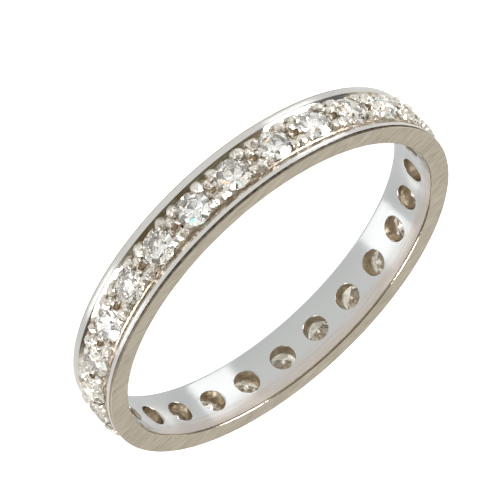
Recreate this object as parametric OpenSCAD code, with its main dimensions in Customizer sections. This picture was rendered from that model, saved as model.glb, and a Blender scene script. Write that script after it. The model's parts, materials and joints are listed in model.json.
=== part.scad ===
// Diamond eternity band: a flat-sided white gold hoop with a bead-set channel
// of round single-cut diamonds all the way round, lying on one of its side faces.

/* [Hoop] */
// Inner diameter, the finger size
inner_d = 17; // [16:0.5:20]
// Height of the hoop from one side face to the other
band_w = 2.7; // [2.6:0.1:3.2]
// Wall from the bore to the top of the two rims
wall = 1; // [0.95:0.05:1.3]
// Width of the polished flat on top of each rim
rim_w = 0.25; // [0.15:0.05:0.3]
// Width of the small bevel between a rim and its side face
bevel = 0.08; // [0.04:0.01:0.1]
// How far the rounding inside the hoop reaches along the bore
comfort_w = 0.17; // [0.1:0.01:0.19]
// Radius of that rounding
comfort_r = 0.24; // [0.2:0.02:0.3]

/* [Channel] */
// Depth of the channel floor below the rims
channel_depth = 0.15; // [0.1:0.01:0.2]
// Width of the sloping bright cut from each rim down to the floor
cut_w = 0.235; // [0.15:0.005:0.25]

/* [Stones] */
// Number of stones round the hoop
stone_count = 26; // [20:1:26]
// Girdle diameter of a stone
stone_d = 1.55; // [1.3:0.05:1.6]
// Table width as a share of the girdle
table_share = 0.6; // [0.55:0.01:0.66]
// Slope of the crown facets
crown_angle = 33; // [30:0.5:35]
// Slope of the pavilion facets
pavilion_angle = 40.8; // [39:0.2:42]
// Thickness of the girdle where it is thinnest
girdle_t = 0.03; // [0.02:0.01:0.06]
// Depth of the middle of the girdle below the rim tops
girdle_drop = 0.05; // [0.03:0.01:0.1]
// Direction of the first stone, round from the X axis
first_stone_at = 202.6; // [0:0.2:360]
// How much each step falls short of an even one, made up again in the last gaps
step_short = 0.16; // [0:0.02:0.3]
// How many gaps at the end of the row make up that shortfall
closing_gaps = 3; // [1:1:6]
// Largest lean of a stone in its seat
lean = 1.5; // [0:0.5:2]

/* [Beads] */
// Diameter of a bead that holds a stone
bead_d = 0.5; // [0.4:0.02:0.56]
// Distance of a bead from its stone's middle, along the channel
bead_along = 0.71; // [0.66:0.01:0.76]
// Distance of each row of beads from the line midway between the two rows
bead_across = 0.52; // [0.48:0.01:0.56]
// How far that line lies below the middle of the channel
bead_shift = 0.06; // [0:0.01:0.08]
// Diameter of the bead midway between two stones, in the upper row
mid_bead_d = 0.48; // [0.36:0.02:0.5]
// Diameter of the smaller one that faces it across the pit
low_bead_d = 0.38; // [0.3:0.02:0.4]
// Distance of that one below the line midway between the rows
low_bead_across = 0.26; // [0.22:0.01:0.3]
// Height of the bead tops above the rims
bead_rise = 0.18; // [0.12:0.01:0.2]
// How much the beads differ in size and place, as hand-raised ones do
bead_vary = 0.025; // [0:0.005:0.04]

/* [Seats] */
// Diameter of the hole drilled from the bore behind each stone
hole_d = 1.18; // [0.8:0.02:1.2]
// Clearance between a stone and its seat
seat_gap = 0.015; // [0.01:0.005:0.03]

/* [Hidden] */
bore_r = inner_d / 2;
rim_r = bore_r + wall;
floor_r = rim_r - channel_depth;
mouth_z = band_w / 2 - bevel - rim_w; // half the channel's mouth
floor_z = mouth_z - cut_w; // half the channel's flat floor

gem_r = stone_d / 2;
girdle_r = rim_r - girdle_drop; // from the hoop's axis
table_r = gem_r * table_share;
mains = 8; // facets of the crown, and of the pavilion
eighth = 360 / mains;
half_turn = eighth / 2;
// Distance from the girdle plane of the ridge between two facets of this slope
function ridge(slope, r) = (gem_r - r * cos(half_turn)) * tan(slope);

step = 360 / stone_count - step_short;
closing_step = step + step_short * stone_count / closing_gaps;
even_gaps = stone_count - closing_gaps;
spill = 1; // how far cutting shapes reach past what they cut
hole_depth = girdle_r - bore_r + spill;

function stone_angle(k) =
    first_stone_at + min(k, even_gaps) * step + max(k - even_gaps, 0) * closing_step;
seam_at = (stone_angle(stone_count - 2) + stone_angle(stone_count - 1)) / 2;
function stone_name(k) = str("stone_", k < 9 ? "0" : "", k + 1);
// A repeatable scatter between -1 and 1
function scatter(k, salt) = sin(k * 137.5 + salt * 71.3) * cos(k * 52.7 - salt * 29.1);

$fn = 180;

// Half of the hoop's section above the middle of the channel
module half_section() {
    difference() {
        polygon([
            [bore_r, 0],
            [floor_r, 0],
            [floor_r, floor_z],
            [rim_r, mouth_z],
            [rim_r, band_w / 2 - bevel],
            [rim_r - bevel, band_w / 2],
            [bore_r, band_w / 2]
        ]);
        difference() {
            translate([bore_r - spill, band_w / 2 - comfort_w])
                square([spill + comfort_r, comfort_w + spill]);
            translate([bore_r + comfort_r, band_w / 2 - comfort_w])
                circle(r = comfort_r);
        }
    }
}

// The revolve starts between two stones, so that its seam crosses no hole
module hoop() {
    rotate([0, 0, seam_at])
        rotate_extrude() {
            half_section();
            mirror([0, 1]) half_section();
        }
}

// Puts a shape with its axis along Z on the channel, pointing outwards,
// along and across the channel from the middle of stone k
module on_channel(k, r, along = 0, across = 0) {
    rotate([0, 0, stone_angle(k)])
        translate([r, along, across])
            rotate([0, 90, 0])
                children();
}

// A stone and its seat lean together
module in_seat(k) {
    on_channel(k, girdle_r)
        rotate([lean * scatter(k, 1), lean * scatter(k, 2), 0])
            children();
}

// A round bead, its lower half sunk in the channel floor
module bead(k, d, along, across, salt) {
    r = d / 2 + bead_vary * scatter(k, salt) / 2;
    on_channel(
        k,
        rim_r + bead_rise - r,
        along + bead_vary * scatter(k, salt + 1),
        across - bead_shift + bead_vary * scatter(k, salt + 2)
    ) sphere(r = r, $fn = 32);
}

// Four beads hold stone k, and two more stand midway to the next stone
module beads(k) {
    for (i = [-1, 1], j = [-1, 1])
        bead(k, bead_d, i * bead_along, j * bead_across, 5 * i + 3 * j);
    bead(k + 0.5, mid_bead_d, 0, bead_across, 11);
    bead(k + 0.5, low_bead_d, 0, -low_bead_across, 14);
}

// The room that a stone needs: a drilled hole, the seat cut under the girdle,
// and the notch that the crown leaves in the beads
module seat_cut() {
    grown_r = gem_r + seat_gap;
    under = girdle_t / 2 + seat_gap / cos(pavilion_angle);
    over = girdle_t / 2 + seat_gap / cos(crown_angle);
    rotate_extrude($fn = 64)
        polygon([
            [0, -hole_depth],
            [hole_d / 2, -hole_depth],
            [hole_d / 2, -under - ridge(pavilion_angle, hole_d / 2)],
            [grown_r, -under - ridge(pavilion_angle, grown_r)],
            [grown_r, over + ridge(crown_angle, grown_r)],
            [table_r, over + ridge(crown_angle, table_r)],
            [0, over + ridge(crown_angle, table_r)]
        ]);
}

module band() {
    color("#c8c3b7")
    translate([0, 0, band_w / 2])
    difference() {
        union() {
            hoop();
            for (k = [0 : stone_count - 1]) beads(k);
        }
        for (k = [0 : stone_count - 1]) in_seat(k) seat_cut();
    }
}

// Corners of the girdle's edge towards one side, alternately on a ridge and mid-facet
function girdle_ring(side, slope) = [
    for (i = [0 : 2 * mains - 1])
        let (away = i % 2 == 0 ? ridge(slope, gem_r) : 0)
        [gem_r * cos(i * half_turn), gem_r * sin(i * half_turn), side * (girdle_t / 2 + away)]
];

// A round single cut with its table up and the girdle round the origin
module single_cut() {
    corners = concat(
        [for (i = [0 : mains - 1])
            [table_r * cos(i * eighth), table_r * sin(i * eighth),
             girdle_t / 2 + ridge(crown_angle, table_r)]],
        girdle_ring(1, crown_angle),
        girdle_ring(-1, pavilion_angle),
        [[0, 0, -girdle_t / 2 - ridge(pavilion_angle, 0)]]
    );
    // First corner of each ring in that list
    top = mains;
    bottom = top + 2 * mains;
    culet = bottom + 2 * mains;
    facets = concat(
        [[for (i = [mains - 1 : -1 : 0]) i]],
        [for (i = [0 : mains - 1])
            let (next = (i + 1) % mains, g = 2 * i, g1 = g + 1, g2 = (g + 2) % (2 * mains))
            each [
                [i, next, top + g2, top + g1, top + g],
                [top + g, top + g1, bottom + g1, bottom + g],
                [top + g1, top + g2, bottom + g2, bottom + g1],
                [bottom + g, bottom + g1, bottom + g2, culet]
            ]]
    );
    polyhedron(corners, facets);
}

module stone(k) {
    spin = eighth * scatter(k, 4);
    color("#eef1f6")
    translate([0, 0, band_w / 2])
        in_seat(k) rotate([0, 0, spin]) single_cut();
}

band();
for (k = [0 : stone_count - 1])
    stone(k);
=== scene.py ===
import json
import math

import bmesh
import bpy
from mathutils import Matrix, Vector


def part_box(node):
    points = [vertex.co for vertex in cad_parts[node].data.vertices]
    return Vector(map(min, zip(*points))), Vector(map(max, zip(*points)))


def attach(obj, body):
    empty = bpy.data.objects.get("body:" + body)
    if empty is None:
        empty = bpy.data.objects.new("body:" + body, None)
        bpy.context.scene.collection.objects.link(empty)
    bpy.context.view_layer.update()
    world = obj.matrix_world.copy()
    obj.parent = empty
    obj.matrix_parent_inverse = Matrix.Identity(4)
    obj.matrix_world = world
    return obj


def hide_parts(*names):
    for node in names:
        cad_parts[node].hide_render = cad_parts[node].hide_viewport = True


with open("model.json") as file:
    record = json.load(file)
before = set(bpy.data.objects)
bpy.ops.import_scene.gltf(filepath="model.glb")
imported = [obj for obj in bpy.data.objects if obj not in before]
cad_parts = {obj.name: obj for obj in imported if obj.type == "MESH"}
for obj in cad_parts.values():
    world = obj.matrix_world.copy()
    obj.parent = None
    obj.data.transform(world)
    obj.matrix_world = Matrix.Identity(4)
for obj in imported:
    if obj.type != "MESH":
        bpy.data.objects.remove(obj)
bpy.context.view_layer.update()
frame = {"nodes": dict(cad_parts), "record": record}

# A diamond eternity ring in white gold, lying on its side on a pale table.
# Lengths are written in millimetres and made metres by mm.
mm = 0.001
nodes = frame["nodes"]
scene = bpy.context.scene
stoneNames = sorted(name for name in nodes if name.startswith("stone_"))
bandLow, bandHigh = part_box("band")
middleHeight = (bandLow.z + bandHigh.z) / 2
ringCentre = Vector((0, 0, middleHeight))
print("frame loaded:", len(nodes), "nodes")


# Small helpers for node trees
def addNode(tree, kind, inputs=None, **settings):
    # A socket among the inputs is linked, and anything else is set
    node = tree.nodes.new(kind)
    for name, value in settings.items():
        setattr(node, name, value)
    for name, value in (inputs or {}).items():
        if isinstance(value, bpy.types.NodeSocket):
            tree.links.new(value, node.inputs[name])
        else:
            node.inputs[name].default_value = value
    return node


def calc(tree, operation, first, second=0.0):
    values = {0: first, 1: second}
    return addNode(tree, "ShaderNodeMath", values, operation=operation).outputs[0]


def addShare(tree, first, second, share):
    return calc(tree, "ADD", first, calc(tree, "MULTIPLY", second, share))


def vectorCalc(tree, operation, inputs):
    return addNode(tree, "ShaderNodeVectorMath", inputs, operation=operation).outputs


def remap(tree, value, low, high, newLow, newHigh, smooth=False):
    values = {"Value": value, "From Min": low, "From Max": high,
              "To Min": newLow, "To Max": newHigh}
    kind = "SMOOTHSTEP" if smooth else "LINEAR"
    return addNode(tree, "ShaderNodeMapRange", values, interpolation_type=kind).outputs["Result"]


def noise(tree, vector, scale=1.0, detail=2.0, roughness=0.5):
    values = {"Vector": vector, "Scale": scale, "Detail": detail, "Roughness": roughness}
    return addNode(tree, "ShaderNodeTexNoise", values).outputs["Fac"]


def blendNumbers(tree, share, first, second):
    return addNode(tree, "ShaderNodeMix", {0: share, 2: first, 3: second}).outputs[0]


def blendColours(tree, share, first, second):
    values = {0: share, 6: first, 7: second}
    return addNode(tree, "ShaderNodeMix", values, data_type="RGBA").outputs[2]


def between(tree, pattern, ends, first, second):
    # Goes from the first colour to the second as the pattern rises from end to end
    return blendColours(tree, remap(tree, pattern, *ends, 0, 1), first, second)


def fromAxis(tree, place):
    # How far a point lies from the hoop's upright axis
    flat = vectorCalc(tree, "MULTIPLY", {0: place, 1: (1, 1, 0)})[0]
    return vectorCalc(tree, "LENGTH", {0: flat})["Value"]


# The camera, with a long lens and rolled
eye = {
    "elevation": 24.835,    # degrees above the plane of the ring
    "round": -0.8,          # degrees round the ring from its front
    "roll": 136.527,        # degrees
    "distance": 285.05 * mm,
    "ringRight": 0.552 * mm,    # how far the ring's centre lies off the line of sight
    "ringDown": 0.929 * mm,
    "lens": 466.86,
    "sensor": 36.0,
    "clip": (0.01, 20.0),   # metres
}


def makeCamera():
    tilt, roll = math.radians(eye["elevation"]), math.radians(eye["roll"])
    turn = Matrix.Rotation(math.radians(eye["round"]), 3, "Z")
    levelRight = turn @ Vector((1, 0, 0))
    levelUp = turn @ Vector((0, math.sin(tilt), math.cos(tilt)))
    back = turn @ Vector((0, -math.cos(tilt), math.sin(tilt)))
    right = levelRight * math.cos(roll) + levelUp * math.sin(roll)
    up = -levelRight * math.sin(roll) + levelUp * math.cos(roll)
    data = bpy.data.cameras.new("camera")
    data.lens = eye["lens"]
    data.sensor_width = eye["sensor"]
    data.clip_start, data.clip_end = eye["clip"]
    camera = bpy.data.objects.new("camera", data)
    turned = Matrix((right, up, back)).transposed().to_4x4()
    place = ringCentre - right * eye["ringRight"] + up * eye["ringDown"] + back * eye["distance"]
    camera.matrix_world = Matrix.Translation(place) @ turned
    scene.collection.objects.link(camera)
    scene.camera = camera


makeCamera()
print("camera placed")


# Studio: a pale table in a room with two tall white boxes, one on each side.
# Angles are in degrees, round from the camera's side both ways, or up
halfTurn = 180.0
studio = {
    "boxFrom": 57.0,
    "boxTo": 92.0,
    "boxLow": 21.5,
    "boxTop": 50.0,
    "boxEdge": 1.5,
    "boxLight": 7.2,
    "dark": (0.145, 0.130, 0.085, 1),    # the dark room behind the camera
    "darkTo": 38.0,
    "darkHeights": (21.0, 51.0),
    "darkEdge": 3.0,
    "haze": (0.36, 0.325, 0.29, 1),      # below and above it
    "side": (0.30, 0.27, 0.23, 1),
    "sideAt": 53.0,
    "gap": (0.13, 0.13, 0.13, 1),
    "gapSpan": (95.0, 108.0),
    "rear": (0.62, 0.58, 0.50, 1),
    "rearFrom": 118.0,
    "roof": (0.20, 0.185, 0.145, 1),
    "roofEnds": (62.0, 72.0),
    "backdrop": (0.95, 0.95, 0.94, 1),   # what the camera sees past the table
}
# The room as the stones gather it through their many facets
stoneLight = {
    "room": (1.40, 1.39, 1.31, 1),
    "shade": (0.60, 0.605, 0.56, 1),
    "shadeScale": 1.8,
    "shadeEnds": (0.38, 0.62),
    "front": (0.12, 0.12, 0.12, 1),      # the dark in front of the ring
    "frontHeight": 22.0,
    "frontSpread": (14.0, 24.0),
    "sparkScale": 3.6,      # small coloured lights, for the fire of the stones
    "sparkSize": 0.31,
    "sparkShare": 0.30,
    "sparkLight": 1.8,
    "sparkDepth": 0.65,     # how strong their colour is
    "warmHues": (0.075, 0.125),
    "coolHues": (0.48, 0.60),
    "warmShare": 0.5,
}


def roomWalls(tree, azimuth, height):
    share = calc(tree, "DIVIDE", azimuth, halfTurn)
    shades = addNode(tree, "ShaderNodeValToRGB", {0: share})
    ramp = shades.color_ramp.elements
    ramp[0].position, ramp[0].color = 0, studio["dark"]
    ramp[1].position, ramp[1].color = 1, studio["rear"]
    gapStart, gapEnd = studio["gapSpan"]
    stops = ((studio["darkTo"], "dark"), (studio["sideAt"], "side"), (gapStart, "gap"),
             (gapEnd, "gap"), (studio["rearFrom"], "rear"))
    for angle, shade in stops:
        ramp.new(angle / halfTurn).color = studio[shade]
    walls = shades.outputs["Color"]
    (low, top), edge = studio["darkHeights"], studio["darkEdge"]
    overLow = remap(tree, height, low - edge, low + edge, 0, 1, True)
    underTop = remap(tree, height, top - edge, top + edge, 1, 0, True)
    aside = remap(tree, azimuth, studio["darkTo"], studio["sideAt"], 0, 1)
    around = blendColours(tree, aside, studio["haze"], walls)
    walls = blendColours(tree, calc(tree, "MULTIPLY", overLow, underTop), around, walls)
    roofShare = remap(tree, height, *studio["roofEnds"], 0, 1, True)
    return blendColours(tree, roofShare, walls, studio["roof"])


def lightBoxes(tree, azimuth, height):
    edge, start, end = studio["boxEdge"], studio["boxFrom"], studio["boxTo"]
    low, top = studio["boxLow"], studio["boxTop"]
    afterStart = remap(tree, azimuth, start, start + edge, 0, 1, True)
    beforeEnd = remap(tree, azimuth, end - edge, end, 1, 0, True)
    underTop = remap(tree, height, top - edge, top, 1, 0, True)
    overLow = remap(tree, height, low, low + edge, 0, 1, True)
    inBox = calc(tree, "MULTIPLY", calc(tree, "MULTIPLY", afterStart, beforeEnd),
                 calc(tree, "MULTIPLY", underTop, overLow))
    light = calc(tree, "MULTIPLY", inBox, studio["boxLight"])
    return addNode(tree, "ShaderNodeCombineXYZ", {0: light, 1: light, 2: light}).outputs[0]


def stoneRoom(tree, direction):
    # A light room that varies softly, dark in front, with a few small coloured lights
    swell = noise(tree, direction, stoneLight["shadeScale"], detail=1.0)
    room = between(tree, swell, stoneLight["shadeEnds"], stoneLight["shade"], stoneLight["room"])
    tilt = math.radians(stoneLight["frontHeight"])
    ahead = (0, -math.cos(tilt), math.sin(tilt))
    facing = vectorCalc(tree, "DOT_PRODUCT", {0: direction, 1: ahead})["Value"]
    inner, outer = (math.cos(math.radians(angle)) for angle in stoneLight["frontSpread"])
    inFront = remap(tree, facing, outer, inner, 0, 1, True)
    room = blendColours(tree, inFront, room, stoneLight["front"])
    values = {"Vector": direction, "Scale": stoneLight["sparkScale"]}
    sparks = addNode(tree, "ShaderNodeTexVoronoi", values).outputs
    near = calc(tree, "LESS_THAN", sparks["Distance"], stoneLight["sparkSize"])
    # Three chances for each spark: its hue, whether it is lit, and whether it is warm or cool
    hue, lit, warmth = addNode(tree, "ShaderNodeSeparateColor", {0: sparks["Color"]}).outputs
    rare = calc(tree, "LESS_THAN", lit, stoneLight["sparkShare"])
    warmHue = remap(tree, hue, 0, 1, *stoneLight["warmHues"])
    coolHue = remap(tree, hue, 0, 1, *stoneLight["coolHues"])
    cool = calc(tree, "GREATER_THAN", warmth, stoneLight["warmShare"])
    values = {0: blendNumbers(tree, cool, warmHue, coolHue),
              1: stoneLight["sparkDepth"], 2: stoneLight["sparkLight"]}
    colour = addNode(tree, "ShaderNodeCombineColor", values, mode="HSV").outputs[0]
    return blendColours(tree, calc(tree, "MULTIPLY", near, rare), room, colour)


def makeStudio():
    world = bpy.data.worlds.new("studio")
    scene.world = world
    world.use_nodes = True
    tree = world.node_tree
    tree.nodes.clear()
    direction = addNode(tree, "ShaderNodeTexCoord").outputs["Generated"]
    axes = addNode(tree, "ShaderNodeSeparateXYZ", {0: direction}).outputs
    bearing = calc(tree, "ARCTAN2", axes["X"], calc(tree, "MULTIPLY", axes["Y"], -1.0))
    toDegrees = halfTurn / math.pi
    azimuth = calc(tree, "MULTIPLY", calc(tree, "ABSOLUTE", bearing), toDegrees)
    height = calc(tree, "MULTIPLY", calc(tree, "ARCSINE", axes["Z"]), toDegrees)
    room, boxes = roomWalls(tree, azimuth, height), lightBoxes(tree, azimuth, height)
    path = addNode(tree, "ShaderNodeLightPath").outputs
    inStone = calc(tree, "GREATER_THAN", path["Transmission Depth"], 0.5)
    room = blendColours(tree, inStone, room, stoneRoom(tree, direction))
    total = vectorCalc(tree, "ADD", {0: room, 1: boxes})[0]
    shown = blendColours(tree, path["Is Camera Ray"], total, studio["backdrop"])
    background = addNode(tree, "ShaderNodeBackground", {"Color": shown, "Strength": 1.0})
    addNode(tree, "ShaderNodeOutputWorld", {"Surface": background.outputs[0]})


table = {
    "reach": 1.5,           # metres from the ring to the table's edge
    "seen": (0.80, 0.80, 0.79, 1),
    "seenGlow": 0.80,
    "mirrored": (0.30, 0.30, 0.30, 1),   # how the ring's metal sees it
    "mirroredGlow": 0.53,
    "roughness": 0.12,
}


def makeTable():
    reach = table["reach"]
    mesh = bpy.data.meshes.new("table")
    corners = [(-reach, -reach, 0), (reach, -reach, 0), (reach, reach, 0), (-reach, reach, 0)]
    mesh.from_pydata(corners, [], [(0, 1, 2, 3)])
    material = bpy.data.materials.new("paleTable")
    material.use_nodes = True
    tree = material.node_tree
    shader = tree.nodes["Principled BSDF"].inputs
    seen = addNode(tree, "ShaderNodeLightPath").outputs["Is Camera Ray"]
    colour = blendColours(tree, seen, table["mirrored"], table["seen"])
    tree.links.new(colour, shader["Base Color"])
    glow = remap(tree, seen, 0, 1, table["mirroredGlow"], table["seenGlow"])
    tree.links.new(glow, shader["Emission Strength"])
    shader["Roughness"].default_value = table["roughness"]
    shader["Emission Color"].default_value = (1, 1, 1, 1)
    mesh.materials.append(material)
    floor = bpy.data.objects.new("table", mesh)
    scene.collection.objects.link(floor)


makeStudio()
makeTable()
scene.view_settings.view_transform = "Standard"
# Light turns back many times inside a stone
scene.cycles.max_bounces = 24
scene.cycles.glossy_bounces = 16
scene.cycles.transmission_bounces = 20
print("studio and table ready")


# Metals. Each finish of the white gold has its own material. Where it has two
# roughnesses, it goes from one to the other as the grain rises through grainEnds.
# Scales are in waves a metre. Strokes and lines have their sizes in mm along X, Y and Z
def startMetal(name, look):
    material = bpy.data.materials.new(name)
    material.use_nodes = True
    tree = material.node_tree
    shader = tree.nodes["Principled BSDF"].inputs
    rough = look["roughness"]
    shader["Base Color"].default_value = look["colour"]
    shader["Metallic"].default_value = 1.0
    shader["Roughness"].default_value = rough if isinstance(rough, float) else rough[0]
    place = addNode(tree, "ShaderNodeTexCoord").outputs["Object"]
    return material, tree, shader, place


def stretched(tree, place, sizes, turn=0.0):
    # Object coordinates counted in strokes of these sizes, turned about Z
    values = {"Vector": place, "Scale": [size * mm for size in sizes],
              "Rotation": (0, 0, math.radians(turn))}
    return addNode(tree, "ShaderNodeMapping", values, vector_type="TEXTURE").outputs[0]


def roughen(tree, shader, look, grain):
    rough = remap(tree, grain, *look["grainEnds"], *look["roughness"])
    tree.links.new(rough, shader["Roughness"])


def relief(tree, shader, look, height):
    values = {"Height": height, "Distance": look["depth"], "Strength": 1.0}
    tree.links.new(addNode(tree, "ShaderNodeBump", values).outputs[0], shader["Normal"])


brushed = {
    "colour": (0.82, 0.785, 0.73, 1),
    "deep": (0.60, 0.565, 0.505, 1),
    "shadeEnds": (0.40, 0.60),
    "roughness": (0.30, 0.48),
    "grainEnds": (0.35, 0.65),
    "depth": 0.005 * mm,
    "direction": 175.0,     # degrees from X, the way the hoop was drawn over the abrasive
    "fine": (0.7, 0.085, 0.085),
    "broad": (1.4, 0.2125, 0.085),
    "broadTurn": 9.0,
    "broadShare": 0.35,
    "cloudScale": 900.0,
    "cloudShare": 0.12,
    "scratch": (1.12, 0.0595, 0.085),
    "scratchTurn": 21.0,
    "scratchEnds": (0.74, 0.80),
    "scratchStrength": 0.6,
    # Painted glint and painted shade for the longer scratches, by which way they turn
    "scratchGlint": (0.92, 0.89, 0.82, 1),
    "scratchShade": (0.36, 0.32, 0.26, 1),
}


def brushedGold():
    material, tree, shader, place = startMetal("brushedGold", brushed)
    turn = brushed["direction"]
    fine = noise(tree, stretched(tree, place, brushed["fine"], turn), detail=3.0, roughness=0.6)
    broad = noise(tree, stretched(tree, place, brushed["broad"], turn + brushed["broadTurn"]))
    worn = blendNumbers(tree, brushed["broadShare"], fine, broad)
    cloud = noise(tree, place, brushed["cloudScale"])
    shade = blendNumbers(tree, brushed["cloudShare"], worn, cloud)
    colour = between(tree, shade, brushed["shadeEnds"], brushed["deep"], brushed["colour"])
    # A few longer scratches, those turned one way with a painted glint and those turned the other
    # with painted shade
    for turned, scratch in ((brushed["scratchTurn"], "scratchGlint"),
                            (-brushed["scratchTurn"], "scratchShade")):
        across = stretched(tree, place, brushed["scratch"], turn + turned)
        lines = noise(tree, across, detail=0.0)
        there = remap(tree, lines, *brushed["scratchEnds"], 0, brushed["scratchStrength"])
        colour = blendColours(tree, there, colour, brushed[scratch])
    tree.links.new(colour, shader["Base Color"])
    roughen(tree, shader, brushed, worn)
    relief(tree, shader, brushed, worn)
    return material


polished = {
    "colour": (0.79, 0.785, 0.765, 1),
    "roughness": (0.10, 0.24),
    "grainEnds": (0.3, 0.7),
    "grainScale": 6000.0,
    "depth": 0.0015 * mm,
    "swellScale": 2500.0,
}


def polishedGold():
    material, tree, shader, place = startMetal("polishedGold", polished)
    roughen(tree, shader, polished, noise(tree, place, polished["grainScale"], detail=3.0))
    relief(tree, shader, polished, noise(tree, place, polished["swellScale"]))
    return material


brightCut = {
    "colour": (0.90, 0.88, 0.83, 1),
    # painted reflection: brown patches where the cut would mirror the stones and beads
    "paintedReflection": (0.66, 0.58, 0.47, 1),
    "patchScale": 1400.0,
    "patchEnds": (0.45, 0.60),
    "roughness": (0.03, 0.09),
    "grainEnds": (0.3, 0.7),
    "grainScale": 5000.0,
    "depth": 0.007 * mm,
    "swellScale": 1500.0,
}


def brightCutGold():
    material, tree, shader, place = startMetal("brightCutGold", brightCut)
    # Patches of painted reflection, standing for the stones and beads mirrored in the cut
    patches = noise(tree, place, brightCut["patchScale"], detail=1.0)
    colour = between(tree, patches, brightCut["patchEnds"], brightCut["colour"], brightCut["paintedReflection"])
    tree.links.new(colour, shader["Base Color"])
    roughen(tree, shader, brightCut, noise(tree, place, brightCut["grainScale"]))
    relief(tree, shader, brightCut, noise(tree, place, brightCut["swellScale"]))
    return material


nearCut = {
    "colour": (0.90, 0.83, 0.76, 1),
    "deep": (0.50, 0.41, 0.33, 1),
    "shadeEnds": (0.43, 0.57),
    "roughness": (0.16, 0.34),
    "grainEnds": (0.35, 0.65),
    "depth": 0.008 * mm,
    "lines": (0.9, 0.9, 0.03),
    "patches": (0.55, 0.55, 0.4),
    "patchShare": 0.6,
}


def nearCutGold():
    # The cut on the upper side is duller and warmer, with graver lines along it
    material, tree, shader, place = startMetal("nearCutGold", nearCut)
    lines = noise(tree, stretched(tree, place, nearCut["lines"]))
    patches = noise(tree, stretched(tree, place, nearCut["patches"]), detail=1.0)
    shade = blendNumbers(tree, nearCut["patchShare"], lines, patches)
    colour = between(tree, shade, nearCut["shadeEnds"], nearCut["deep"], nearCut["colour"])
    tree.links.new(colour, shader["Base Color"])
    roughen(tree, shader, nearCut, lines)
    relief(tree, shader, nearCut, lines)
    return material


wornEdge = {
    "colour": (0.80, 0.73, 0.61, 1),
    "roughness": 0.11,
    "depth": 0.01 * mm,
    "dentScale": 6000.0,
}


def wornEdgeGold():
    material, tree, shader, place = startMetal("wornEdgeGold", wornEdge)
    relief(tree, shader, wornEdge, noise(tree, place, wornEdge["dentScale"]))
    return material


satin = {
    # painted shade: the bore's metal is set darker than the polished rims, for the shade inside
    # the hoop
    "colour": (0.675, 0.695, 0.695, 1),
    "upper": (0.655, 0.60, 0.55, 1),     # painted warm reflection, warmer towards the upper edge
    "warmReflectionEnds": (0.45 * mm, 1.10 * mm),     # where the painted reflection begins and where it is full, above the middle of the hoop
    "warmReflectionDrift": 0.25 * mm,    # how far the streaks shift that
    "streaks": (2.2, 2.2, 0.11),
    "streakEnds": (0.30, 0.70),
    "roughness": (0.09, 0.17),
    "grainEnds": (0.3, 0.7),
    "lines": (4.0, 4.0, 0.0625),
    "lineShare": 0.05,
    "swellScale": 420.0,
    "depth": 0.02 * mm,
}


def satinGold():
    # Inside the hoop, where soft wiping lines run round it, with a painted warm reflection towards
    # its upper edge
    material, tree, shader, place = startMetal("satinGold", satin)
    height = addNode(tree, "ShaderNodeSeparateXYZ", {0: place}).outputs["Z"]
    aboveMiddle = calc(tree, "SUBTRACT", height, middleHeight)
    streaks = noise(tree, stretched(tree, place, satin["streaks"]))
    drift = remap(tree, streaks, *satin["streakEnds"], -satin["warmReflectionDrift"], satin["warmReflectionDrift"])
    # The upper part of the bore is painted warmer: a painted reflection
    upper = remap(tree, calc(tree, "ADD", aboveMiddle, drift), *satin["warmReflectionEnds"], 0, 1, True)
    colour = blendColours(tree, upper, satin["colour"], satin["upper"])
    tree.links.new(colour, shader["Base Color"])
    lines = noise(tree, stretched(tree, place, satin["lines"]))
    roughen(tree, shader, satin, lines)
    swell = noise(tree, place, satin["swellScale"], detail=1.0)
    relief(tree, shader, satin, addShare(tree, swell, lines, satin["lineShare"]))
    return material


beadMetal = {
    "colour": (0.97, 0.95, 0.905, 1),
    "shade": (0.82, 0.765, 0.675, 1),
    "shadeEnds": (0.45, 0.65),
    "roughness": (0.22, 0.42),
    "grainEnds": (0.35, 0.65),
    "nickScale": 13000.0,
    "nickShare": 0.5,
    "dentScale": 7000.0,
    "depth": 0.024 * mm,
}


def beadGold():
    material, tree, shader, place = startMetal("beadGold", beadMetal)
    nicks = noise(tree, place, beadMetal["nickScale"])
    colour = between(tree, nicks, beadMetal["shadeEnds"], beadMetal["colour"], beadMetal["shade"])
    tree.links.new(colour, shader["Base Color"])
    roughen(tree, shader, beadMetal, nicks)
    dents = noise(tree, place, beadMetal["dentScale"])
    relief(tree, shader, beadMetal, addShare(tree, dents, nicks, beadMetal["nickShare"]))
    return material


# The marks that the graver and the drill left, in the four metals below
toolMarks = {
    "scale": 4200.0,
    "ends": (0.40, 0.62),
    "depth": 0.025 * mm,
}
floorMetal = {
    "name": "channelGold",
    "colour": (0.80, 0.74, 0.64, 1),
    "deep": (0.52, 0.44, 0.34, 1),
    "roughness": 0.36,
}
pitMetal = {
    "name": "pitGold",
    "colour": (0.84, 0.73, 0.59, 1),
    "deep": (0.55, 0.455, 0.345, 1),
    "roughness": 0.34,
}
# The fine dark line along the upper rim: its near-black colour is painted shade in the groove,
# together with dirt
grooveShadeMetal = {
    "name": "grooveGold",
    "colour": (0.24, 0.20, 0.15, 1),
    "deep": (0.11, 0.09, 0.07, 1),
    "roughness": 0.36,
    "lighterSide": (0.62, 0.54, 0.43, 1),     # lighter towards the +X side of the ring
    "lighterSideEnds": (7.5 * mm, 11.0 * mm),
    "lighterSideDrift": 5.0 * mm,
    "lighterSideScale": 400.0,
}
wellMetal = {
    "name": "wellGold",
    "colour": (0.74, 0.65, 0.525, 1),
    "deep": (0.42, 0.35, 0.265, 1),
    "roughness": 0.32,
    "rings": 0.09 * mm,     # between the rings that the drill left
    "ringShare": 0.5,
}


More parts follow.
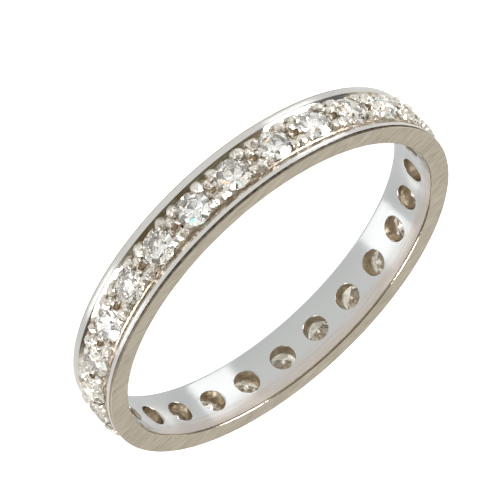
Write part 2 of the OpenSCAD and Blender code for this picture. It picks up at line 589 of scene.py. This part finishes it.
def mottledGold(look):
    material, tree, shader, place = startMetal(look["name"], look)
    marks = noise(tree, place, toolMarks["scale"], detail=3.0)
    if "rings" in look:
        # A drilled hole points at the hoop's axis, so its rings step away from there
        away = calc(tree, "DIVIDE", fromAxis(tree, place), look["rings"])
        steps = addNode(tree, "ShaderNodeCombineXYZ", {0: away}).outputs[0]
        marks = blendNumbers(tree, look["ringShare"], marks, noise(tree, steps, detail=1.0))
    colour = between(tree, marks, toolMarks["ends"], look["colour"], look["deep"])
    # The groove's painted shade grows lighter towards the +X side
    if "lighterSide" in look:
        side = addNode(tree, "ShaderNodeSeparateXYZ", {0: place}).outputs["X"]
        drift = noise(tree, place, look["lighterSideScale"])
        reach = addShare(tree, side, drift, look["lighterSideDrift"])
        lighterSide = remap(tree, reach, *look["lighterSideEnds"], 0, 1, True)
        colour = blendColours(tree, lighterSide, colour, look["lighterSide"])
    tree.links.new(colour, shader["Base Color"])
    relief(tree, shader, toolMarks, marks)
    return material


gem = {
    "bending": 2.417,
    "tints": [(1.0, 0.995, 0.975, 1), (1.0, 0.98, 0.945, 1), (0.985, 0.99, 0.985, 1)],
    "backUnder": 9.43 * mm,     # the pavilions lie nearer to the hoop's axis than this
    "backHaze": 0.02,       # they are never quite clean
    "backFacetShade": 0.10,       # and painted facet shading holds back up to this share of light, more on some facets than others
    "backTurn": 2.6,
    "facetShadeEnds": (0.42, 0.58),
    "grimeAndShade": (0.80, 0.75, 0.655, 1),      # grime and painted shade on them, as they show from the bore
    "grimeAndShadeShare": (0.10, 0.40),
    "grimeAndShadeScale": 3000.0,
    "grimeAndShadeEnds": (0.38, 0.62),
}


def diamond(name, tint):
    material = bpy.data.materials.new(name)
    material.use_nodes = True
    tree = material.node_tree
    shader = tree.nodes["Principled BSDF"].inputs
    coordinates = addNode(tree, "ShaderNodeTexCoord").outputs
    place, facing = coordinates["Object"], coordinates["Normal"]
    behind = calc(tree, "LESS_THAN", fromAxis(tree, place), gem["backUnder"])
    tree.links.new(calc(tree, "MULTIPLY", behind, gem["backHaze"]), shader["Roughness"])
    # Painted facet shading: by the way it faces, each back facet lets a different share of light
    # straight through
    chance = noise(tree, facing, gem["backTurn"], detail=0.0)
    facetShade = remap(tree, chance, *gem["facetShadeEnds"], 0, gem["backFacetShade"])
    # Light that is inside the stone turns back before it meets the grime and painted shade, which
    # show only from outside
    depth = addNode(tree, "ShaderNodeLightPath").outputs["Transmission Depth"]
    outside = calc(tree, "LESS_THAN", depth, 0.5)
    grimeAndShadeMask = calc(tree, "MULTIPLY", behind, outside)
    tree.links.new(blendColours(tree, grimeAndShadeMask, tint, gem["grimeAndShade"]), shader["Base Color"])
    patches = noise(tree, place, gem["grimeAndShadeScale"])
    grimeAndShade = remap(tree, patches, *gem["grimeAndShadeEnds"], *gem["grimeAndShadeShare"])
    shadeAndGrime = calc(tree, "MULTIPLY", behind, blendNumbers(tree, outside, facetShade, grimeAndShade))
    tree.links.new(calc(tree, "SUBTRACT", 1.0, shadeAndGrime), shader["Transmission Weight"])
    shader["IOR"].default_value = gem["bending"]
    return material


finishes = {
    "brushed": brushedGold(),
    "polished": polishedGold(),
    "edge": wornEdgeGold(),
    "cut": brightCutGold(),
    "nearCut": nearCutGold(),
    "satin": satinGold(),
    "bead": beadGold(),
    "floor": mottledGold(floorMetal),
    "pit": mottledGold(pitMetal),
    "well": mottledGold(wellMetal),
    "groove": mottledGold(grooveShadeMetal),
}
finishOrder = list(finishes)
print("materials made:", ", ".join(finishOrder))


# Small helpers for meshes. Every tree takes and gives geometry, and ends in its metal
def startTree(name, sockets):
    tree = bpy.data.node_groups.new(name, "GeometryNodeTree")
    face = tree.interface
    for label, kind in {"Geometry": "Geometry", **sockets, "Metal": "Material"}.items():
        face.new_socket(label, in_out="INPUT", socket_type="NodeSocket" + kind)
    face.new_socket("Geometry", in_out="OUTPUT", socket_type="NodeSocketGeometry")
    return tree, addNode(tree, "NodeGroupInput").outputs


def endTree(tree, geometry, metal):
    values = {"Geometry": geometry, "Material": metal}
    painted = addNode(tree, "GeometryNodeSetMaterial", values)
    addNode(tree, "NodeGroupOutput", {"Geometry": painted.outputs[0]})


def startObject(name, points, edges=()):
    mesh = bpy.data.meshes.new(name)
    mesh.from_pydata(points, edges, [])
    maker = bpy.data.objects.new(name, mesh)
    scene.collection.objects.link(maker)
    return maker


def settled(maker, name):
    # The evaluated object as a plain mesh in a new object; the maker is removed
    graph = bpy.context.evaluated_depsgraph_get()
    mesh = bpy.data.meshes.new_from_object(maker.evaluated_get(graph))
    bpy.data.objects.remove(maker)
    mesh.name = name
    piece = bpy.data.objects.new(name, mesh)
    scene.collection.objects.link(piece)
    return piece


def grown(maker, name, tree, values):
    # What the tree makes of the maker with these values
    modifier = maker.modifiers.new(tree.name, "NODES")
    modifier.node_group = tree
    for socket in tree.interface.items_tree:
        if socket.in_out == "INPUT" and socket.name in values:
            modifier[socket.identifier] = values[socket.name]
    return settled(maker, name)


# The hoop's section, turned round the upright axis
boreMount = next(m for m in frame["record"]["mounts"] if m["name"] == "finger_bore")
hoop = {
    "boreRadius": boreMount["dims"]["r_mm"] * mm,
    "height": bandHigh.z - bandLow.z,
    "wall": 1.0 * mm,
    "rimWidth": 0.25 * mm,
    "bevel": 0.08 * mm,         # of the solid's rim, which sets where the mouth begins
    "edgeFall": 0.022 * mm,     # the worn outer edge, down from the side face
    "edgeIn": 0.012 * mm,       # and in from the rim
    "edgeFoot": 0.3,            # share of that at the foot of the worn edge
    "lineFall": 0.150 * mm,     # where the fine dark line ends, down from the side face
    "lineIn": (0.045 * mm, 0.012 * mm),     # its depth on the upper side and on the lower
    "swell": 0.025 * mm,        # how much the bore widens towards its edges
    "swellSteps": 6,
    "comfortReach": 0.130 * mm,     # the rounding between the bore and the side face
    "comfortRadius": 0.220 * mm,
    "comfortSteps": 8,
    "channelDepth": 0.15 * mm,
    "cutWidth": 0.235 * mm,
    "undercut": 0.05 * mm,      # the fine groove between the floor and each bright cut
    "undercutFoot": 0.4,        # where it is deepest and where it ends, in its own depths
    "undercutEnd": 2.0,
    "engraved": 0.62,           # where the engraved line runs, as a share of the cut
    "engravedDepth": 0.012 * mm,
    "softness": 0.018 * mm,     # rounding of the worn corners
    "softSteps": 3,
    "segments": 600,
}
rimRadius = hoop["boreRadius"] + hoop["wall"]
floorRadius = rimRadius - hoop["channelDepth"]
topHeight = hoop["height"] / 2
mouthHeight = topHeight - hoop["bevel"] - hoop["rimWidth"]
floorHeight = mouthHeight - hoop["cutWidth"]


def soften(corners):
    # Rounds each corner (across, up, rounding) of a closed outline
    outline = []
    for i, (x, y, rounding) in enumerate(corners):
        corner = Vector((x, y))
        if not rounding:
            outline.append(corner)
            continue
        before, after = Vector(corners[i - 1][:2]), Vector(corners[(i + 1) % len(corners)][:2])
        start = corner + (before - corner).normalized() * rounding
        end = corner + (after - corner).normalized() * rounding
        for step in range(hoop["softSteps"] + 1):
            t = step / hoop["softSteps"]
            outline.append(start * (1 - t) ** 2 + corner * 2 * t * (1 - t) + end * t ** 2)
    return outline


def halfOutline(lineIn):
    # Half of the section, from the channel's floor over the rim and down the bore
    soft, bore, reach = hoop["softness"], hoop["boreRadius"], hoop["comfortReach"]
    turn, under, notch = hoop["comfortRadius"], hoop["undercut"], hoop["engravedDepth"]
    foot, lip = Vector((floorRadius, floorHeight)), Vector((rimRadius, mouthHeight))
    slope = (lip - foot).normalized()
    inward = Vector((-slope.y, slope.x))
    line = foot.lerp(lip, hoop["engraved"])
    lineFoot, edgeFoot = topHeight - hoop["lineFall"], topHeight - hoop["edgeFall"]
    half = [
        (floorRadius, floorHeight - under * hoop["undercutEnd"], 0),
        (floorRadius - under, floorHeight - under * hoop["undercutFoot"], 0),
        (foot.x, foot.y, soft / 2),
        (*(line - slope * notch), 0),
        (*(line + inward * notch), 0),
        (*(line + slope * notch), 0),
        (lip.x, lip.y, soft),
        (rimRadius, lineFoot, soft / 2),
        (rimRadius - lineIn, lineFoot + soft, 0),
        (rimRadius - lineIn, edgeFoot - soft, 0),
        (rimRadius - hoop["edgeIn"] * hoop["edgeFoot"], edgeFoot, 0),
        (rimRadius - hoop["edgeIn"], topHeight, 0),
    ]
    start, swell, steps = topHeight - reach, hoop["swell"], hoop["comfortSteps"]
    lean = math.atan(2 * swell / start)
    steepest = math.asin(reach / turn + math.sin(lean))
    for step in range(steps + 1):
        angle = steepest + (lean - steepest) * step / steps
        x = bore + swell + turn * (math.cos(lean) - math.cos(angle))
        y = start + turn * (math.sin(angle) - math.sin(lean))
        half.append((x, y, soft if step == 0 else 0))
    for step in range(1, hoop["swellSteps"]):
        share = 1 - step / hoop["swellSteps"]
        half.append((bore + swell * share ** 2, start * share, 0))
    return half


def hoopOutline():
    above, below = (halfOutline(lineIn) for lineIn in hoop["lineIn"])
    return soften(above + [(x, -y, rounding) for x, y, rounding in reversed(below)])


weldDistance = 1e-7     # metres, closes an outline that ends on the axis


def turningTree():
    # Sweeps an outline round a circle
    tree, given = startTree("turnedMetal", {"Radius": "Float", "Segments": "Int"})
    outline = addNode(tree, "GeometryNodeMeshToCurve", {"Mesh": given["Geometry"]})
    path = addNode(tree, "GeometryNodeCurvePrimitiveCircle",
                   {"Resolution": given["Segments"], "Radius": given["Radius"]})
    swept = addNode(tree, "GeometryNodeCurveToMesh",
                    {"Curve": path.outputs["Curve"], "Profile Curve": outline.outputs["Curve"]})
    merged = addNode(tree, "GeometryNodeMergeByDistance",
                     {"Geometry": swept.outputs[0], "Distance": weldDistance})
    whole = addNode(tree, "GeometryNodeRealizeInstances", {"Geometry": merged.outputs[0]})
    endTree(tree, whole.outputs[0], given["Metal"])
    return tree


turning = turningTree()


def turnOutline(name, outline, radius, segments, metal):
    # The sweep lays an outline's Y downwards, so its points run the other way round
    points = [(x - radius, -y, 0) for x, y in reversed(outline)]
    maker = startObject(name, points, [(i, (i + 1) % len(points)) for i in range(len(points))])
    values = {"Radius": radius, "Segments": segments, "Metal": metal}
    return grown(maker, name, turning, values)


hoopPiece = turnOutline("hoop", hoopOutline(), hoop["boreRadius"], hoop["segments"],
                        finishes["floor"])
hoopPiece.data.transform(Matrix.Translation(ringCentre))
print("hoop turned:", len(hoopPiece.data.polygons), "faces")


def scatterTree():
    # Puts a shape on every point, turned and sized by the point's own numbers,
    # then a little uneven in size and surface
    tree, given = startTree("scatteredMetal", {
        "Shape": "Object", "Smallest": "Float", "Largest": "Float",
        "Hand Marks": "Float", "Mark Scale": "Float", "Seed": "Int"})
    shape = addNode(tree, "GeometryNodeObjectInfo", {"Object": given["Shape"]})
    turn, form = (
        addNode(tree, "GeometryNodeInputNamedAttribute", {"Name": label},
                data_type="FLOAT_VECTOR").outputs[0]
        for label in ("turn", "form"))
    size = addNode(tree, "FunctionNodeRandomValue",
                   {2: given["Smallest"], 3: given["Largest"], "Seed": given["Seed"]},
                   data_type="FLOAT").outputs[1]
    placed = addNode(tree, "GeometryNodeInstanceOnPoints", {
        "Points": given["Geometry"], "Instance": shape.outputs["Geometry"], "Rotation": turn,
        "Scale": vectorCalc(tree, "SCALE", {0: form, "Scale": size})[0]})
    whole = addNode(tree, "GeometryNodeRealizeInstances", {"Geometry": placed.outputs[0]})
    grain = addNode(tree, "ShaderNodeTexNoise", {"Scale": given["Mark Scale"], "Detail": 1.0})
    centred = vectorCalc(tree, "SUBTRACT", {0: grain.outputs["Color"], 1: (0.5, 0.5, 0.5)})[0]
    push = vectorCalc(tree, "SCALE", {0: centred, "Scale": given["Hand Marks"]})[0]
    moved = addNode(tree, "GeometryNodeSetPosition",
                    {"Geometry": whole.outputs[0], "Offset": push})
    endTree(tree, moved.outputs[0], given["Metal"])
    return tree


scattering = scatterTree()


def scatterShapes(name, places, shape, metal, uneven=0.0, marks=0.0, markScale=1.0, seed=0):
    # Each place is a point, a rotation and the form, a size along three axes
    maker = startObject(name, [point for point, turn, form in places])
    turns = maker.data.attributes.new("turn", "FLOAT_VECTOR", "POINT")
    forms = maker.data.attributes.new("form", "FLOAT_VECTOR", "POINT")
    for i, (point, turn, form) in enumerate(places):
        turns.data[i].vector = tuple(turn.to_euler())
        forms.data[i].vector = form
    values = {"Shape": shape, "Smallest": 1 - uneven, "Largest": 1 + uneven,
              "Hand Marks": marks, "Mark Scale": markScale, "Seed": seed, "Metal": metal}
    return grown(maker, name, scattering, values)


# The seats and the holes behind them, placed by the stones' own meshes
seatTool = {
    "holeRadius": 0.59 * mm,
    "gap": 0.015 * mm,
    "girdle": 0.03 * mm,
    "crown": math.radians(33),
    "pavilion": math.radians(40.8),
    "facets": 8,
    "tableShare": 0.6,
    "tableFrom": 0.97,      # share of a stone's height above which its table's corners lie
    "lip": 0.035 * mm,      # rounding where the hole meets the bore
    "lipSteps": 6,
    "reach": 2.0 * mm,
    "segments": 96,
}


def seatOf(name):
    # The middle of a stone's girdle, the way the stone looks, and its radius
    points = [v.co.copy() for v in nodes[name].data.vertices]
    culet = min(points, key=lambda p: p.x ** 2 + p.y ** 2)
    guess = (sum(points, Vector()) / len(points) - culet).normalized()
    top = max((p - culet).dot(guess) for p in points)
    corners = [p for p in points if (p - culet).dot(guess) > top * seatTool["tableFrom"]]
    axis = (sum(corners, Vector()) / len(corners) - culet).normalized()
    widest = max(((p - culet) - axis * (p - culet).dot(axis)).length for p in points)
    depth = seatTool["girdle"] / 2 + widest * math.tan(seatTool["pavilion"])
    return culet + axis * depth, axis, widest


seats = [seatOf(name) for name in stoneNames]
stoneRadius = sum(radius for centre, axis, radius in seats) / len(seats)


def seatOutline():
    # The stone turned round its axis, so its ridges set the slopes, and a little room
    gap, half, hole = seatTool["gap"], seatTool["girdle"] / 2, seatTool["holeRadius"]
    shrink = math.cos(math.pi / seatTool["facets"])

    def ridge(slope, radius):
        return half + gap / math.cos(slope) + (stoneRadius - radius * shrink) * math.tan(slope)

    crown, pavilion = seatTool["crown"], seatTool["pavilion"]
    wide, tableRadius = stoneRadius + gap, stoneRadius * seatTool["tableShare"]
    boreDepth = seats[0][0].xy.length - hoop["boreRadius"]
    lip, reach, steps = seatTool["lip"], seatTool["reach"], seatTool["lipSteps"]
    rounding = []
    for step in range(steps + 1):
        angle = math.radians(90) * (1 - step / steps)
        rounding.append((hole + lip * (1 - math.cos(angle)),
                         -boreDepth + lip * (1 - math.sin(angle))))
    corners = [
        (0, -reach), (hole + lip, -reach), *rounding,
        (hole, -ridge(pavilion, hole)), (wide, -ridge(pavilion, wide)), (wide, ridge(crown, wide)),
        (tableRadius, ridge(crown, tableRadius)), (0, ridge(crown, tableRadius)),
    ]
    return [Vector(corner) for corner in corners]


def facingOut(direction):
    return direction.to_track_quat("Z", "Y").to_matrix()


seatShape = turnOutline("seatShape", seatOutline(), seatTool["holeRadius"],
                        seatTool["segments"], finishes["well"])
seatPlaces = [(centre, facingOut(axis), (1, 1, 1)) for centre, axis, radius in seats]
seatCuts = scatterShapes("seatCuts", seatPlaces, seatShape, finishes["well"])
print("seats ready:", len(seats))


# Beads raised from the channel floor, four to a stone and more between the stones
beads = {
    "diameter": 0.54 * mm,
    "along": 0.71 * mm,
    "across": 0.52 * mm,
    "shift": 0.06 * mm,     # how far both rows lie below the middle of the channel
    "rise": 0.18 * mm,      # above the rims
    "lowAcross": 0.26 * mm,
    # Size of each kind of bead along, across and outwards
    "upperForm": (0.95, 0.86, 0.96),
    "lowerForm": (1.20, 1.08, 1.0),
    "midForm": (1.30, 1.06, 1.03),      # midway between two stones, in the upper row
    "lowMidForm": (0.86, 1.05, 1.0),    # the one that faces it
    "scrapForm": (0.62, 0.78, 0.80),    # the metal pushed up beside the pit
    "scrapAlong": 0.26 * mm,
    "scrapAcross": 0.04 * mm,
    "scrapSink": 0.06 * mm,
    "uneven": 0.05,         # share by which the sizes differ
    "handMarks": 0.20 * mm,     # how strongly the surface is pushed about
    "markScale": 7400.0,
    "seed": 7,
    "rings": 7,
    "segments": 13,
}
# Small pits that the graver left, one in the middle of each gap
pits = {
    "diameter": 0.32 * mm,
    "form": (1.45, 0.85, 1),
    "depth": 0.08 * mm,
    "uneven": 0.15,
    "handMarks": 0.03 * mm,
    "markScale": 3000.0,
    "seed": 3,
    "rings": 8,
    "segments": 20,
}


def ballShape(name, sizes, metal):
    radius, rings = sizes["diameter"] / 2, sizes["rings"]
    angles = [math.pi * (ring / rings - 0.5) for ring in range(rings + 1)]
    outline = [Vector((radius * math.cos(angle), radius * math.sin(angle))) for angle in angles]
    outline[0].x = outline[-1].x = 0
    return turnOutline(name, outline, radius / 2, sizes["segments"], metal)


def scatterBalls(name, sizes, places, shape, metal):
    return scatterShapes(name, places, shape, metal, sizes["uneven"], sizes["handMarks"],
                         sizes["markScale"], sizes["seed"])


def upwards(distance):
    return Vector((0, 0, distance))


def beadPlaces():
    places = []
    depth = rimRadius + beads["rise"] - beads["diameter"] / 2
    lift = upwards(-beads["shift"])
    for i, (centre, axis, radius) in enumerate(seats):
        outward = Vector((centre.x, centre.y, 0)).normalized()
        along = Vector((-outward.y, outward.x, 0))
        for side in (-1, 1):
            for row in (-1, 1):
                aside = along * side * beads["along"] + upwards(row * beads["across"])
                towards = (-aside).normalized()
                turn = Matrix((towards, outward.cross(towards), outward)).transposed()
                form = beads["upperForm"] if row > 0 else beads["lowerForm"]
                places.append((ringCentre + outward * depth + aside + lift, turn, form))
        # Two more stand midway to the next stone, and a scrap on each side of the pit
        outward = (centre.xy + seats[(i + 1) % len(seats)][0].xy).normalized().to_3d()
        along = Vector((-outward.y, outward.x, 0))
        turn = Matrix((along, outward.cross(along), outward)).transposed()
        halfway = ringCentre + outward * depth + lift
        places.append((halfway + upwards(beads["across"]), turn, beads["midForm"]))
        places.append((halfway - upwards(beads["lowAcross"]), turn, beads["lowMidForm"]))
        for side in (-1, 1):
            aside = along * side * beads["scrapAlong"] + upwards(side * beads["scrapAcross"])
            point = halfway + aside - outward * beads["scrapSink"]
            places.append((point, turn, beads["scrapForm"]))
    return places


def pitPlaces():
    places = []
    depth = floorRadius - pits["depth"] + pits["diameter"] / 2
    for i in range(len(seats)):
        first, second = seats[i - 1][0], seats[i][0]
        outward = ((first.xy + second.xy) / 2).normalized().to_3d()
        point = ringCentre + outward * depth - upwards(beads["shift"])
        places.append((point, facingOut(outward), pits["form"]))
    return places


beadShape = ballShape("beadShape", beads, finishes["bead"])
beadPiece = scatterBalls("beads", beads, beadPlaces(), beadShape, finishes["bead"])
print("beads raised:", len(beadPiece.data.polygons), "faces")
pitShape = ballShape("pitShape", pits, finishes["pit"])
pitCuts = scatterBalls("pitCuts", pits, pitPlaces(), pitShape, finishes["pit"])


# The band is the hoop with its beads, less the pits, the seats and the holes
def carve(piece, tool, operation):
    modifier = piece.modifiers.new(operation.lower(), "BOOLEAN")
    modifier.operation = operation
    modifier.object = tool
    modifier.solver = "MANIFOLD"
    modifier.material_mode = "TRANSFER"


def clearPockets(mesh):
    # The carving can leave an empty pocket, two equal faces back to back and nothing else
    work = bmesh.new()
    work.from_mesh(mesh)
    pockets = []
    for face in work.faces:
        neighbours = {other for edge in face.edges for other in edge.link_faces}
        if len(neighbours - {face}) == 1:
            pockets.append(face)
    bmesh.ops.delete(work, geom=pockets, context="FACES")
    work.to_mesh(mesh)
    work.free()
    return len(pockets)


carve(hoopPiece, beadPiece, "UNION")
carve(hoopPiece, pitCuts, "DIFFERENCE")
carve(hoopPiece, seatCuts, "DIFFERENCE")
band = settled(hoopPiece, "bandMetal")
for tool in (beadPiece, pitCuts, seatCuts, beadShape, pitShape, seatShape):
    bpy.data.objects.remove(tool)
print("empty pockets taken out:", clearPockets(band.data), "faces")
print("band carved:", sum(len(face.vertices) - 2 for face in band.data.polygons), "triangles")


# Where one finish ends and the next begins
zones = {
    "level": 0.985,         # the side faces are at least this level, 1 being quite level
    "outward": -0.02,       # and the faces of the bore look outwards less than this
    "slack": 0.01 * mm,
    "grooveSlack": 0.003 * mm,
    "lipReach": 1.4,        # how far up a hole the polish goes, in lips
    "sharp": 28.0,          # degrees between faces, from which their edge stays sharp
}


def finishOf(centre, normal):
    # The finish of a face of the turned hoop, by where it lies and how it faces
    radius = centre.xy.length
    outward = normal.xy.dot(centre.xy) / radius
    above = centre.z - middleHeight
    height, slack = abs(above), zones["slack"]
    if abs(normal.z) > zones["level"] and height > topHeight - slack:
        return "brushed"
    if outward < zones["outward"] and radius < hoop["boreRadius"] + hoop["comfortRadius"]:
        return "edge" if above > topHeight - hoop["comfortReach"] + slack else "satin"
    if height > topHeight - hoop["edgeFall"]:
        return "edge"
    # Only the upper side's fine line takes the dark groove metal, painted shade and dirt; the
    # lower one stays polished
    if height > topHeight - hoop["lineFall"] and radius < rimRadius - zones["grooveSlack"]:
        return "groove" if above > 0 else "polished"
    if height > mouthHeight - slack:
        return "polished"
    if height > floorHeight - slack and radius > floorRadius - slack:
        return "nearCut" if above > 0 else "cut"
    return "floor"


def paintBand(mesh):
    # Faces that the beads, the pits and the holes left keep the metal of those
    kept = [material.name for material in mesh.materials]
    fixed = {finishes[name].name: name for name in ("bead", "well", "pit")}
    chosen = []
    lipRadius = hoop["boreRadius"] + seatTool["lip"] * zones["lipReach"]
    for face in mesh.polygons:
        finish = fixed.get(kept[face.material_index]) or finishOf(face.center, face.normal)
        if finish == "well" and face.center.xy.length < lipRadius:
            finish = "polished"
        chosen.append(finish)
    mesh.materials.clear()
    for finish in finishOrder:
        mesh.materials.append(finishes[finish])
    for face, finish in zip(mesh.polygons, chosen):
        face.material_index = finishOrder.index(finish)
        face.use_smooth = finish != "bead"    # the graver leaves the beads in small flats
    mesh.set_sharp_from_angle(angle=math.radians(zones["sharp"]))


paintBand(band.data)
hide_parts("band")
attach(band, "root")
print("band finished")


# The stones keep their own facets and get a diamond's material
for i, name in enumerate(stoneNames):
    stone = nodes[name]
    tint = gem["tints"][i % len(gem["tints"])]
    stone.data.materials.clear()
    stone.data.materials.append(diamond("diamond" + name[-3:], tint))
print("stones finished:", len(stoneNames))

bpy.context.view_layer.update()
